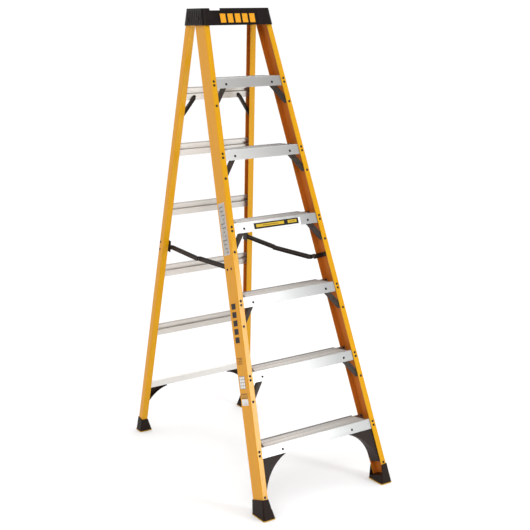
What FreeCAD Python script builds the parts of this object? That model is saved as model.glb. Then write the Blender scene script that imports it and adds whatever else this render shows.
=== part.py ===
import FreeCAD, Part
import math
import os

# Folding A-frame step ladder with six steps, standing open.
# Millimetres. +Z is up, +X is to the right of a climber facing the steps, and the climber faces +Y.
# The origin is the centre of the footprint, on the floor.

V = FreeCAD.Vector

# Front section: two channel rails, open inwards, that lean back and flare out
FRONT_LEAN = 18.9            # degrees from the vertical
FRONT_FLARE = 4.37           # degrees, each rail
FRONT_HALF_WIDTH = 322.0     # outer front corner of a rail, where its line meets the floor
FRONT_FLOOR_Y = -587.25
FRONT_DEPTH = 79.0
FRONT_FLANGE = 25.0
FRONT_WALL = 3.5
FRONT_FOOT_CUT = 45.0        # the rail starts this far along its own line
RAIL_TOP_Z = 1979.0

# Rear section
REAR_LEAN = 10.25
REAR_FLARE = 4.25
REAR_HALF_WIDTH = 313.0
REAR_FLOOR_Y = FRONT_FLOOR_Y + 1131.6
REAR_DEPTH = 34.4
REAR_FLANGE = 28.9
REAR_WALL = 3.2
REAR_FOOT_CUT = 24.0

# Steps
STEP_COUNT = 6
STEP_PITCH = 304.8           # along the rail
FIRST_STEP_RIVET = 277.4     # upper rivet of the lowest step, along the rail
RIVET_LINE = 12.1            # rivets' distance from the rail's outer corner
RIVET_PAIR = 16.5
STEP_ABOVE = 10.7            # top of the front lip above the upper rivet
STEP_BELOW = 31.3            # bottom of the front lip below it
REAR_RIVET_RISE = 27.5       # rear rivets above the front ones, along the rail
STEP_SHEET = 2.2
REAR_LIP = 30.0
LIP_RETURN = 8.0
TREAD_RIBS = 8
RIB_WIDTH = 2.6
RIB_HEIGHT = 1.2
FIT_GAP = 0.2                # between parts that are riveted together
END_GAP = 0.6                # between a step's end and the rail's web
TREAD_END = (38.0, 63.0)     # tread's distance from the web at its front and at its back
EAR_DROP = 4.0               # the rear lip's ends start this far below the tread

# Braces and gussets
BRACE_DROP = 103.4           # lower brace rivet below the step's upper rivet
BRACE_INSET = 60.0           # upper brace rivet, inwards from the rail's rivets
FACE_RIVET_DROP = 14.3
BRACE_WIDTH = 16.0
BRACE_SHEET = 2.2
BRACE_EDGE = 22.0            # depth of a brace's turned edges
BRACE_BACK = FRONT_WALL + FIT_GAP + STEP_SHEET + FIT_GAP
GUSSET_INSET = 112.9         # step rivet of the lowest gusset
GUSSET_FOOT = 95.7           # lower gusset rivet, along the rail
GUSSET_TOP = 272.0
GUSSET_TIP = (165.0, 243.0)  # across and up the front plane
GUSSET_MID = (238.0, 194.0)
GUSSET_END = (289.5, 101.0)
GUSSET_RIM = 2.6

# Fasteners
RIVET_HEAD = 5.4
RIVET_DOME = 7.0
RIVET_SHANK = 2.4
RIVET_TAIL = 3.6
TAIL_HEIGHT = 1.2
HOLE_CLEARANCE = 0.05
PIN_RADIUS = 4.0
PIN_CLEARANCE = 0.06

# Top cap
CAP_BOTTOM_Z = 1923.0
CAP_TOP_Z = 1993.0
CAP_RIM = 9.0
CAP_RIM_WIDTH = 8.0
CAP_WALL = 3.2
CAP_DECK = 4.0
CAP_HALF_BOTTOM = 173.0
CAP_HALF_TOP = 166.0
CAP_FRONT_BOTTOM = 63.0      # from the origin, along Y
CAP_FRONT_TOP = 84.0
CAP_BACK_BOTTOM = 240.9
CAP_BACK_TOP = 230.9
CAP_CORNERS = (18.0, 14.0)   # front and back
CAP_INNER_CORNERS = (12.0, 8.0)
FRONT_NOTCH = (-134.0, -81.0)
BACK_NOTCH = (-60.0, 18.0)
PANEL = (-133.0, 96.0, 1926.0, 1981.0)
PANEL_DEPTH = 1.8
BADGE = (-94.0, 91.0, 1928.0, 1975.0)
BADGE_SHEET = 1.2
BADGE_BARS = 5
BADGE_GAP = 3.6
END_RIBS = 7
END_RIB_START = 30.0         # behind the front's bottom edge
END_RIB_PITCH = 19.0

# Fold: the rear rails turn about two bolts in the cap
PIVOT_Y = FRONT_FLOOR_Y + 795.5
PIVOT_Z = 1948.0
RAIL_END_RADIUS = 21.5
FRONT_BOLT_Y = 118.0
FRONT_BOLT_Z = 1950.0
FRONT_BOLT_X = (171.4, 159.4, 150.0)   # under the head, outside of the nut, end of the shank
PIVOT_BOLT_X = (171.6, 160.4, 151.0)
BOLT_SEAT = 9.5

# Spreaders
ARM_HEIGHT = 20.0
ARM_SHEET = 2.0
ARM_EDGE = 5.2
REAR_ARM_X = 205.2           # outer face of the rear arm's web
FRONT_ARM_X = 197.5          # outer face of the front arm's web
FRONT_SPREADER_S = 1024.0    # along the front rail
REAR_SPREADER_S = 957.0      # along the rear rail
FRONT_PIN = (-168.3, 935.8)  # Y and Z of the front arm's pivot
REAR_PIN = (363.5, 936.7)
MIDDLE_PIN = (125.6, 927.4)
LUG_SHEET = 2.5

# Rear bars
BAR_CENTRES = (524.0, 824.0, 1122.0, 1402.5, 1653.0)
BAR_HEIGHT = 57.0
BAR_SHEET = 1.6
BAR_RIB_DEPTH = 10.8
LOW_BAR_CENTRE = 234.5
LOW_BAR_HEIGHT = 35.0
BAR_RIVETS = (-13.2, 20.2)   # rivets, up from a bar's centre
LOW_BAR_RIVETS = 7.0
TOP_BRACE_UPPER = (113.0, 1640.0)
TOP_BRACE_LOWER = (184.0, 1541.0)
TOP_BRACE_BACK = 17.9
TOP_BRACE_EDGE = 9.0
REAR_GUSSET_TIP = (172.0, 215.0)
REAR_GUSSET_MID = (232.0, 186.0)
REAR_GUSSET_END = (272.0, 136.0)
REAR_GUSSET_RIVETS = (168.0, 200.0)   # along the rail

# Feet
PAD_HEIGHT = 4.0
PAD_LIP = 1.0
GROOVE_PITCH = 12.0
GROOVE_WIDTH = 2.0
GROOVE_DEPTH = 1.5
BOOT_WALL = 3.2
BOOT_CHAMFER = 6.0
FRONT_BOOT_TOP = 87.0        # along the rail
REAR_BOOT_TOP = 65.0


# ---------------------------------------------------------------- frames

def frame(origin, x_axis, y_axis, z_axis):
    """Placement whose local axes are the three given unit vectors."""
    m = FreeCAD.Matrix(
        x_axis.x, y_axis.x, z_axis.x, origin.x,
        x_axis.y, y_axis.y, z_axis.y, origin.y,
        x_axis.z, y_axis.z, z_axis.z, origin.z,
        0, 0, 0, 1)
    return FreeCAD.Placement(m)


def rail_frame(lean, flare, half_width, floor_y):
    """Right-hand rail: x outwards, y backwards through its depth, z up along it."""
    a = math.radians(lean)
    b = math.radians(flare)
    outward = V(math.cos(b), math.sin(b) * math.sin(a), math.sin(b) * math.cos(a))
    back = V(0, math.cos(a), -math.sin(a))
    up = V(-math.sin(b), math.cos(b) * math.sin(a), math.cos(b) * math.cos(a))
    return frame(V(half_width, floor_y, 0), outward, back, up)


def plane_frame(lean, floor_y):
    """Plane of both rails: x across, y backwards, z up the slope."""
    a = math.radians(lean)
    back = V(0, math.cos(a), -math.sin(a))
    up = V(0, math.sin(a), math.cos(a))
    return frame(V(0, floor_y, 0), V(1, 0, 0), back, up)


FRONT_RAIL = rail_frame(FRONT_LEAN, FRONT_FLARE, FRONT_HALF_WIDTH, FRONT_FLOOR_Y)
REAR_RAIL = rail_frame(-REAR_LEAN, REAR_FLARE, REAR_HALF_WIDTH, REAR_FLOOR_Y)
FRONT_PLANE = plane_frame(FRONT_LEAN, FRONT_FLOOR_Y)
REAR_PLANE = plane_frame(-REAR_LEAN, REAR_FLOOR_Y)


def put(shape, placement):
    shape.Placement = placement.multiply(shape.Placement)
    return shape


def mirrored(shape):
    return shape.mirror(V(0, 0, 0), V(1, 0, 0))


def group(shapes):
    return Part.makeCompound(shapes)


def both_sides(shapes):
    return shapes + [mirrored(s) for s in shapes]


def box(x, y, z):
    """Box from three (low, high) pairs."""
    return Part.makeBox(x[1] - x[0], y[1] - y[0], z[1] - z[0], V(x[0], y[0], z[0]))


def rod(start, axis, length, radius):
    return Part.makeCylinder(radius, length, start, axis)


def prism(points, direction):
    wire = Part.makePolygon(points + [points[0]])
    return Part.Face(wire).extrude(direction)


def rail_x(half_width, flare, slope, inset):
    """Distance from the middle, in the plane of the rails, of a line inset from a rail's outer corner."""
    b = math.radians(flare)
    return half_width - slope * math.tan(b) - inset / math.cos(b)


# ---------------------------------------------------------------- fasteners

def rivet(grip):
    """Domed rivet: head above z = 0, shank down through the grip, tail below."""
    latitude = math.degrees(math.acos(RIVET_HEAD / RIVET_DOME))
    drop = RIVET_DOME * math.sin(math.radians(latitude))
    head = Part.makeSphere(RIVET_DOME, V(0, 0, -drop), V(0, 0, 1), latitude, 90, 360)
    shank = rod(V(0, 0, -grip), V(0, 0, 1), grip, RIVET_SHANK)
    tail = rod(V(0, 0, -grip - TAIL_HEIGHT), V(0, 0, 1), TAIL_HEIGHT, RIVET_TAIL)
    return head.fuse([shank, tail])


def rivet_at(placement, x, y, z, outward, grip):
    """Rivet at a point of a frame. outward is +1 or -1 along the frame's y axis."""
    turn = FreeCAD.Rotation(V(0, 0, 1), V(0, outward, 0))
    return put(put(rivet(grip), FreeCAD.Placement(V(x, y, z), turn)), placement)


def hole_at(placement, x, y, z, outward, grip):
    start = V(x, y + outward, z)
    radius = RIVET_SHANK + HOLE_CLEARANCE
    return put(rod(start, V(0, -outward, 0), grip + 2, radius), placement)


def drilled(shape, holes):
    """Shape cut by the holes that come near it."""
    near = [h for h in holes if shape.BoundBox.intersect(h.BoundBox)]
    if not near:
        return shape
    return shape.cut(near)


def step_line(k):
    return FIRST_STEP_RIVET + STEP_PITCH * k


def face_rivet(k):
    """Across and up the front plane: the rivet in a step's front lip that holds its brace or gusset."""
    slope = (step_line(k) - FACE_RIVET_DROP) * math.cos(math.radians(FRONT_FLARE))
    inset = RIVET_LINE + (GUSSET_INSET if k == 0 else BRACE_INSET)
    return rail_x(FRONT_HALF_WIDTH, FRONT_FLARE, slope, inset), slope


def front_rivet_places():
    """Right-hand rivets of the front section: frame, x, y, z, outward, grip."""
    lip = FRONT_WALL + FIT_GAP
    through_step = lip + STEP_SHEET
    through_brace = BRACE_BACK + BRACE_SHEET
    places = []
    for k in range(STEP_COUNT):
        s = step_line(k)
        for z in (s, s - RIVET_PAIR):
            grip = through_brace if z < GUSSET_TOP else through_step
            places.append((FRONT_RAIL, -RIVET_LINE, 0.0, z, -1, grip))
            places.append((FRONT_RAIL, -RIVET_LINE, FRONT_DEPTH, z + REAR_RIVET_RISE, 1, through_step))
        x, slope = face_rivet(k)
        places.append((FRONT_PLANE, x, lip, slope, -1, through_brace - lip))
        if k > 0:
            places.append((FRONT_RAIL, -RIVET_LINE, 0.0, s - BRACE_DROP, -1, through_brace))
    places.append((FRONT_RAIL, -RIVET_LINE, 0.0, GUSSET_FOOT, -1, through_brace))
    return places


def bar_centres():
    return (LOW_BAR_CENTRE,) + BAR_CENTRES


def rear_rivet_places():
    """Right-hand rivets of the rear section."""
    through_bar = REAR_WALL + FIT_GAP + BAR_SHEET
    places = []
    for centre in bar_centres():
        offsets = (-LOW_BAR_RIVETS, LOW_BAR_RIVETS) if centre == LOW_BAR_CENTRE else BAR_RIVETS
        for offset in offsets:
            z = (centre + offset) / math.cos(math.radians(REAR_FLARE))
            places.append((REAR_RAIL, -RIVET_LINE, REAR_DEPTH, z, 1, through_bar))
    rib_front = REAR_DEPTH - REAR_WALL - FIT_GAP - BAR_RIB_DEPTH
    x, z = TOP_BRACE_UPPER
    places.append((REAR_PLANE, x, TOP_BRACE_BACK, z, -1, rib_front + BAR_SHEET - TOP_BRACE_BACK))
    x, z = TOP_BRACE_LOWER
    places.append((REAR_PLANE, x, REAR_DEPTH, z, 1, REAR_DEPTH - TOP_BRACE_BACK))
    for z in REAR_GUSSET_RIVETS:
        places.append((REAR_RAIL, -RIVET_LINE, REAR_DEPTH, z, 1, through_bar + BRACE_SHEET - BAR_SHEET))
    return places


def rivets(places, extra):
    return group(both_sides([rivet_at(*p) for p in places] + extra))


def rivet_holes(places):
    return both_sides([hole_at(*p) for p in places])


# ---------------------------------------------------------------- rails

def channel(depth, flange, wall, start, end):
    """Channel along z, web outside at x = 0, open towards -x."""
    outer = box((-flange, 0), (0, depth), (start, end))
    outer = outer.makeFillet(2.4, [e for e in outer.Edges if corner_edge(e, 0)])
    inner = box((-flange - 1, -wall), (wall, depth - wall), (start - 1, end + 1))
    shape = outer.cut(inner)
    return shape.makeFillet(1.2, [e for e in shape.Edges if corner_edge(e, -flange)])


def corner_edge(edge, x):
    """True for an edge along z at the given x."""
    low, high = edge.BoundBox.XMin, edge.BoundBox.XMax
    tall = edge.BoundBox.ZLength > 100
    return tall and abs(low - x) < 0.01 and abs(high - x) < 0.01


def cap_bolt_holes(radius):
    front = rod(V(130, FRONT_BOLT_Y, FRONT_BOLT_Z), V(1, 0, 0), 60, radius)
    pivot = rod(V(130, PIVOT_Y, PIVOT_Z), V(1, 0, 0), 60, radius)
    return [front, pivot]


def web_holes(placement, wall, points):
    """Rivet holes through a rail's web, from (y, z) points."""
    radius = RIVET_SHANK + HOLE_CLEARANCE
    return [put(rod(V(-wall - 6, y, z), V(1, 0, 0), wall + 8, radius), placement) for y, z in points]


FRONT_BRACKET_RIVETS = [(25.7, FRONT_SPREADER_S), (57.0, FRONT_SPREADER_S)]
REAR_BRACKET_RIVETS = [(25.0, REAR_SPREADER_S - 17.5), (25.0, REAR_SPREADER_S + 17.5)]


def front_rail(holes):
    rail = put(channel(FRONT_DEPTH, FRONT_FLANGE, FRONT_WALL, FRONT_FOOT_CUT, 2300), FRONT_RAIL)
    rail = rail.common(box((0, 400), (-900, 900), (0, RAIL_TOP_Z)))
    rail = drilled(rail, holes)
    rail = rail.cut(cap_bolt_holes(PIN_RADIUS + HOLE_CLEARANCE))
    return rail.cut(web_holes(FRONT_RAIL, FRONT_WALL, FRONT_BRACKET_RIVETS))


def rear_rail(holes):
    rail = put(channel(REAR_DEPTH, REAR_FLANGE, REAR_WALL, REAR_FOOT_CUT, 2300), REAR_RAIL)
    below = box((0, 400), (-900, 900), (0, PIVOT_Z))
    rounded = rod(V(0, PIVOT_Y, PIVOT_Z), V(1, 0, 0), 400, RAIL_END_RADIUS)
    rail = rail.common(below.fuse(rounded))
    rail = drilled(rail, holes)
    rail = rail.cut(cap_bolt_holes(PIN_RADIUS + PIN_CLEARANCE))
    return rail.cut(web_holes(REAR_RAIL, REAR_WALL, REAR_BRACKET_RIVETS))


def between(placement, wall):
    """Space between the two webs, less a small gap at each."""
    side = put(box((-1500, -wall - END_GAP), (-300, 400), (-200, 2400)), placement)
    return side.common(mirrored(side))


# ---------------------------------------------------------------- steps

def depth_point(z, back):
    """Point on the YZ section at a height, at a depth behind the rails' front plane."""
    a = math.radians(FRONT_LEAN)
    slope = (z + back * math.sin(a)) / math.cos(a)
    return V(-400, FRONT_FLOOR_Y + slope * math.sin(a) + back * math.cos(a), z)


def step_heights(k):
    a = math.radians(FRONT_LEAN)
    slope = step_line(k) * math.cos(math.radians(FRONT_FLARE))
    front = FRONT_WALL + FIT_GAP
    top = (slope + STEP_ABOVE) * math.cos(a) - front * math.sin(a)
    bottom = (slope - STEP_BELOW) * math.cos(a) - front * math.sin(a)
    return top, bottom


def tread_end(k, y_front, y_rear):
    """Room between the tread's slanted end and the right rail, above the ears that take the rivets."""
    top = step_heights(k)[0]
    slope = (top + FRONT_WALL * math.sin(math.radians(FRONT_LEAN))) / math.cos(math.radians(FRONT_LEAN))
    near, far = [rail_x(FRONT_HALF_WIDTH, FRONT_FLARE, slope, FRONT_WALL + d) for d in TREAD_END]
    web = near + TREAD_END[0] + 20
    z = top - EAR_DROP
    start = y_front + STEP_SHEET + 1
    end = y_rear + 10
    points = [V(near, start, z), V(web, start, z), V(web, end, z), V(far, end, z)]
    return prism(points, V(0, 0, EAR_DROP + 10))


def step(k, space, holes):
    """Level ribbed tread with a front and a rear lip that lie against the rail flanges."""
    top, bottom = step_heights(k)
    front = FRONT_WALL + FIT_GAP
    rear = FRONT_DEPTH - FRONT_WALL - FIT_GAP
    under = top - STEP_SHEET
    low = top - REAR_LIP
    outline = [
        depth_point(bottom, front), depth_point(top, front),
        depth_point(top, rear), depth_point(low, rear),
        depth_point(low, rear - LIP_RETURN), depth_point(low + STEP_SHEET, rear - LIP_RETURN),
        depth_point(low + STEP_SHEET, rear - STEP_SHEET), depth_point(under, rear - STEP_SHEET),
        depth_point(under, front + STEP_SHEET), depth_point(bottom, front + STEP_SHEET)]
    body = prism(outline, V(800, 0, 0))
    y_front = depth_point(top, front).y + RIB_HEIGHT * math.tan(math.radians(FRONT_LEAN))
    y_rear = depth_point(top, rear).y
    pitch = (y_rear - y_front - RIB_WIDTH) / (TREAD_RIBS - 1)
    ribs = []
    for i in range(TREAD_RIBS):
        y = y_front + pitch * i
        ribs.append(box((-400, 400), (y, y + RIB_WIDTH), (top - 1, top + RIB_HEIGHT)))
    body = body.fuse(ribs).removeSplitter()
    body = body.cut(both_sides([tread_end(k, y_front, y_rear)]))
    return drilled(body.common(space), holes)


# ---------------------------------------------------------------- braces and gussets

def brace(upper, lower, back, edge, placement, holes):
    """Strip between two rivets, given across and up the plane of the rails, with two turned edges."""
    dx = lower[0] - upper[0]
    dz = lower[1] - upper[1]
    length = math.hypot(dx, dz)
    along = V(dx / length, 0, dz / length)
    side = V(-along.z, 0, along.x)
    local = frame(V(upper[0], back, upper[1]), side, V(0, 1, 0), along)
    if side.cross(V(0, 1, 0)).dot(along) < 0:
        local = frame(V(upper[0], back, upper[1]), side.negative(), V(0, 1, 0), along)
    half = BRACE_WIDTH / 2
    strip = box((-half, half), (0, BRACE_SHEET), (0, length))
    parts = [rod(V(0, 0, z), V(0, 1, 0), BRACE_SHEET, half) for z in (0, length)]
    for x in (-half, half - BRACE_SHEET):
        parts.append(box((x, x + BRACE_SHEET), edge, (3, length - 3)))
    body = put(put(strip.fuse(parts).removeSplitter(), local), placement)
    return drilled(body, holes)


def step_brace(k, holes):
    slope = (step_line(k) - BRACE_DROP) * math.cos(math.radians(FRONT_FLARE))
    lower = (rail_x(FRONT_HALF_WIDTH, FRONT_FLARE, slope, RIVET_LINE), slope)
    return brace(face_rivet(k), lower, BRACE_BACK, (0, BRACE_EDGE), FRONT_PLANE, holes)


def rear_brace(holes):
    edge = (BRACE_SHEET - TOP_BRACE_EDGE, BRACE_SHEET)
    return brace(TOP_BRACE_UPPER, TOP_BRACE_LOWER, TOP_BRACE_BACK, edge, REAR_PLANE, holes)


def arc_centre(a, b, c):
    """Centre and radius of the circle through three (x, z) points."""
    d = 2 * (a[0] * (b[1] - c[1]) + b[0] * (c[1] - a[1]) + c[0] * (a[1] - b[1]))
    sa = a[0] ** 2 + a[1] ** 2
    sb = b[0] ** 2 + b[1] ** 2
    sc = c[0] ** 2 + c[1] ** 2
    x = (sa * (b[1] - c[1]) + sb * (c[1] - a[1]) + sc * (a[1] - b[1])) / d
    z = (sa * (c[0] - b[0]) + sb * (a[0] - c[0]) + sc * (b[0] - a[0])) / d
    return x, z, math.hypot(a[0] - x, a[1] - z)


def gusset_outline(corners, tip, middle, end, back, depth):
    """Solid between straight corners and a hollow arc, extruded backwards."""
    points = [V(x, back, z) for x, z in corners]
    edges = [Part.makeLine(points[i], points[i + 1]) for i in range(len(points) - 1)]
    start = V(tip[0], back, tip[1])
    finish = V(end[0], back, end[1])
    arc = Part.Arc(start, V(middle[0], back, middle[1]), finish).toShape()
    edges += [Part.makeLine(points[-1], start), arc, Part.makeLine(finish, points[0])]
    return Part.Face(Part.Wire(edges)).extrude(V(0, depth, 0))


def arc_rim(tip, middle, end, back, depth, thickness):
    x, z, radius = arc_centre(tip, middle, end)
    outer = rod(V(x, back, z), V(0, 1, 0), depth, radius + thickness)
    inner = rod(V(x, back - 1, z), V(0, 1, 0), depth + 2, radius)
    return outer.cut(inner)


def front_gusset(holes):
    """Hollow-curved corner plate under the lowest step, with a rim that deepens towards the foot."""
    web = FRONT_WALL + END_GAP
    low = GUSSET_FOOT - 8.0
    corners = [
        (rail_x(FRONT_HALF_WIDTH, FRONT_FLARE, low, web), low),
        (rail_x(FRONT_HALF_WIDTH, FRONT_FLARE, GUSSET_TOP, web), GUSSET_TOP),
        (GUSSET_TIP[0] - 14.0, GUSSET_TOP)]
    shape = (corners, GUSSET_TIP, GUSSET_MID, GUSSET_END)
    plate = gusset_outline(*shape, BRACE_BACK, BRACE_SHEET)
    deep = FRONT_DEPTH - FRONT_WALL - 3.0
    rim = gusset_outline(*shape, BRACE_BACK, deep - BRACE_BACK)
    rim = rim.common(arc_rim(GUSSET_TIP, GUSSET_MID, GUSSET_END, BRACE_BACK, deep, GUSSET_RIM))
    slanted = prism([V(0, 0, 0), V(0, deep, 0), V(0, deep, GUSSET_END[1] + 20),
                     V(0, 26, GUSSET_TIP[1] - 20), V(0, 18, GUSSET_TOP), V(0, 0, GUSSET_TOP)],
                    V(400, 0, 0))
    body = plate.fuse(rim.common(slanted)).removeSplitter()
    return drilled(put(body, FRONT_PLANE), holes)


def rear_gusset(holes):
    """Smaller corner plate under the lowest rear bar."""
    web = REAR_WALL + END_GAP
    top = REAR_GUSSET_TIP[1] + 0.5
    low = REAR_GUSSET_END[1] - 5.0
    back = REAR_DEPTH - REAR_WALL - FIT_GAP - BRACE_SHEET
    corners = [
        (rail_x(REAR_HALF_WIDTH, REAR_FLARE, low, web), low),
        (rail_x(REAR_HALF_WIDTH, REAR_FLARE, top, web), top),
        (REAR_GUSSET_TIP[0] - 6.0, top)]
    arc = (REAR_GUSSET_TIP, REAR_GUSSET_MID, REAR_GUSSET_END)
    plate = gusset_outline(corners, *arc, back, BRACE_SHEET)
    rim = gusset_outline(corners, *arc, back - 12.0, 12.0 + BRACE_SHEET)
    rim = rim.common(arc_rim(*arc, back - 12.0, 14.2, GUSSET_RIM))
    return drilled(put(plate.fuse(rim).removeSplitter(), REAR_PLANE), holes)


# ---------------------------------------------------------------- rear bars

def hollow_rib(low, high, front, rear):
    """Tapered hollow rib along x, between two heights and two depths."""
    side = 1.6
    outer = prism([V(-400, rear, low), V(-400, front, low + side), V(-400, front, high - side),
                   V(-400, rear, high)], V(800, 0, 0))
    sheet = BAR_SHEET
    inner = prism([V(-401, rear + 1, low + sheet), V(-401, front + sheet, low + side + sheet),
                   V(-401, front + sheet, high - side - sheet), V(-401, rear + 1, high - sheet)],
                  V(802, 0, 0))
    return outer.cut(inner)


def bar(centre, height, ribs, space, holes):
    """Back plate with hollow ribs on its front, trimmed to the rails' webs."""
    rear = REAR_DEPTH - REAR_WALL - FIT_GAP
    front = rear - BAR_RIB_DEPTH
    plate_front = rear - BAR_SHEET
    half = height / 2
    body = box((-400, 400), (plate_front, rear), (centre - half, centre + half))
    parts = [hollow_rib(centre + low, centre + high, front, plate_front) for low, high in ribs]
    body = put(body.fuse(parts).removeSplitter(), REAR_PLANE)
    return drilled(body.common(space), holes)


def rear_bar(index, space, holes):
    if index == 0:
        half = LOW_BAR_HEIGHT / 2
        return bar(LOW_BAR_CENTRE, LOW_BAR_HEIGHT, [(-half, half)], space, holes)
    half = BAR_HEIGHT / 2
    ribs = [(-half, 2.0), (12.0, half)]
    return bar(BAR_CENTRES[index - 1], BAR_HEIGHT, ribs, space, holes)


# ---------------------------------------------------------------- feet

def chamfered(x, y, z, cut):
    """Closed outline of a rectangle with cut corners, at height z."""
    points = [
        V(x[0] + cut, y[0], z), V(x[1] - cut, y[0], z), V(x[1], y[0] + cut, z), V(x[1], y[1] - cut, z),
        V(x[1] - cut, y[1], z), V(x[0] + cut, y[1], z), V(x[0], y[1] - cut, z), V(x[0], y[0] + cut, z)]
    return Part.makePolygon(points + [points[0]])


def boot(placement, sole_x, sole_y, depth, flange, foot_cut, top):
    """Moulded boot around a rail's end, open on the inner side above its floor."""
    low = chamfered(sole_x, sole_y, PAD_HEIGHT, BOOT_CHAMFER)
    high = chamfered((-flange - 2.0, BOOT_WALL), (-BOOT_WALL, depth + BOOT_WALL), top, BOOT_WALL)
    outer = Part.makeLoft([low, put(high, placement)], True, True)
    room = box((-flange - 60, FIT_GAP), (-FIT_GAP, depth + FIT_GAP), (foot_cut - FIT_GAP, top + 60))
    return outer.cut(put(room, placement))


def pad(sole_x, sole_y):
    """Tread pad under a boot, with cross grooves in its sole."""
    x = (sole_x[0] - PAD_LIP, sole_x[1] + PAD_LIP)
    y = (sole_y[0] - PAD_LIP, sole_y[1] + PAD_LIP)
    body = Part.Face(chamfered(x, y, 0, BOOT_CHAMFER)).extrude(V(0, 0, PAD_HEIGHT))
    count = int((y[1] - y[0]) // GROOVE_PITCH)
    half = GROOVE_WIDTH / 2
    grooves = []
    for i in range(1, count):
        middle = y[0] + (y[1] - y[0]) * i / count
        grooves.append(box((x[0] - 1, x[1] + 1), (middle - half, middle + half), (-1, GROOVE_DEPTH)))
    return body.cut(grooves)


FRONT_SOLE_X = (271.5, 328.0)
FRONT_SOLE_Y = (FRONT_FLOOR_Y + 1.4, FRONT_FLOOR_Y + 93.6)
REAR_SOLE_X = (257.0, 317.5)
REAR_SOLE_Y = (FRONT_FLOOR_Y + 1119.6, FRONT_FLOOR_Y + 1173.1)


def front_boot():
    return boot(FRONT_RAIL, FRONT_SOLE_X, FRONT_SOLE_Y, FRONT_DEPTH, FRONT_FLANGE, FRONT_FOOT_CUT,
                FRONT_BOOT_TOP)


def rear_boot():
    return boot(REAR_RAIL, REAR_SOLE_X, REAR_SOLE_Y, REAR_DEPTH, REAR_FLANGE, REAR_FOOT_CUT,
                REAR_BOOT_TOP)


# ---------------------------------------------------------------- top cap

def quarter(x, y, z, radius, start):
    """Quarter circle about a point, from a start angle in degrees."""
    angles = [math.radians(start + turn) for turn in (0, 45, 90)]
    return Part.Arc(*[V(x + radius * math.cos(a), y + radius * math.sin(a), z) for a in angles]).toShape()


def rounded_outline(half, front, back, corners, z):
    """Closed rectangle at height z, with one radius for its front corners and another for its back ones."""
    near, far = corners
    arcs = [
        quarter(-half + near, front + near, z, near, 180), quarter(half - near, front + near, z, near, 270),
        quarter(half - far, back - far, z, far, 0), quarter(-half + far, back - far, z, far, 90)]
    edges = []
    for i, arc in enumerate(arcs):
        following = arcs[(i + 1) % len(arcs)]
        edges.append(arc)
        start = arc.valueAt(arc.LastParameter)
        edges.append(Part.makeLine(start, following.valueAt(following.FirstParameter)))
    return Part.Wire(edges)


def cap_section(z, inset, corners):
    """Cap outline at a height, inset from its outside."""
    t = (z - CAP_BOTTOM_Z) / (CAP_TOP_Z - CAP_BOTTOM_Z)
    half = CAP_HALF_BOTTOM + (CAP_HALF_TOP - CAP_HALF_BOTTOM) * t - inset
    front = CAP_FRONT_BOTTOM + (CAP_FRONT_TOP - CAP_FRONT_BOTTOM) * t + inset
    back = CAP_BACK_BOTTOM + (CAP_BACK_TOP - CAP_BACK_BOTTOM) * t - inset
    return rounded_outline(half, front, back, corners, z)


def cap_block(low, high, inset, corners):
    return Part.makeLoft([cap_section(low, inset, corners), cap_section(high, inset, corners)], True, True)


def slanted_panel(x, z, depth, proud):
    """Slab along the cap's sloping front, from proud of the surface to a depth behind it."""
    slope = (CAP_FRONT_TOP - CAP_FRONT_BOTTOM) / (CAP_TOP_Z - CAP_BOTTOM_Z)
    low = CAP_FRONT_BOTTOM + slope * (z[0] - CAP_BOTTOM_Z)
    high = CAP_FRONT_BOTTOM + slope * (z[1] - CAP_BOTTOM_Z)
    points = [V(x[0], low - proud, z[0]), V(x[0], low + depth, z[0]),
              V(x[0], high + depth, z[1]), V(x[0], high - proud, z[1])]
    return prism(points, V(x[1] - x[0], 0, 0))


def end_ribs():
    """Upright grip ribs on the cap's ends, cut away round the bolt heads."""
    side = (CAP_HALF_BOTTOM - CAP_HALF_TOP) / (CAP_TOP_Z - CAP_BOTTOM_Z)
    ribs = []
    for i in range(END_RIBS):
        y = CAP_FRONT_BOTTOM + END_RIB_START + END_RIB_PITCH * i
        low = CAP_HALF_BOTTOM - side * 6.0
        high = CAP_HALF_BOTTOM - side * 60.0
        points = [V(low - 1, y, CAP_BOTTOM_Z + 6), V(low + 1.2, y, CAP_BOTTOM_Z + 6),
                  V(high + 1.2, y, CAP_BOTTOM_Z + 60), V(high - 1, y, CAP_BOTTOM_Z + 60)]
        ribs.append(prism(points, V(0, 5, 0)))
    seats = [rod(V(FRONT_BOLT_X[0] - FIT_GAP, FRONT_BOLT_Y, FRONT_BOLT_Z), V(1, 0, 0), 5, BOLT_SEAT),
             rod(V(PIVOT_BOLT_X[0] - FIT_GAP, PIVOT_Y, PIVOT_Z), V(1, 0, 0), 5, BOLT_SEAT)]
    return both_sides([rib.cut(seats) for rib in ribs])


def top_cap():
    deck = CAP_TOP_Z - CAP_RIM
    middle = (CAP_FRONT_TOP + CAP_BACK_TOP) / 2
    body = cap_block(CAP_BOTTOM_Z, CAP_TOP_Z, 0, CAP_CORNERS)
    body = body.cut(cap_block(CAP_BOTTOM_Z - 1, deck - CAP_DECK, CAP_WALL, CAP_INNER_CORNERS))
    body = body.cut(cap_block(deck, CAP_TOP_Z + 1, CAP_RIM_WIDTH, CAP_INNER_CORNERS))
    body = body.fuse(end_ribs())
    body = body.cut(box(FRONT_NOTCH, (CAP_FRONT_BOTTOM - 5, middle), (deck, CAP_TOP_Z + 5)))
    body = body.cut(box(BACK_NOTCH, (middle, CAP_BACK_BOTTOM + 5), (deck, CAP_TOP_Z + 5)))
    body = body.cut(slanted_panel(PANEL[:2], PANEL[2:], PANEL_DEPTH, 5))
    holes = cap_bolt_holes(PIN_RADIUS + HOLE_CLEARANCE)
    return body.cut(both_sides(holes)).removeSplitter()


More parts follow.
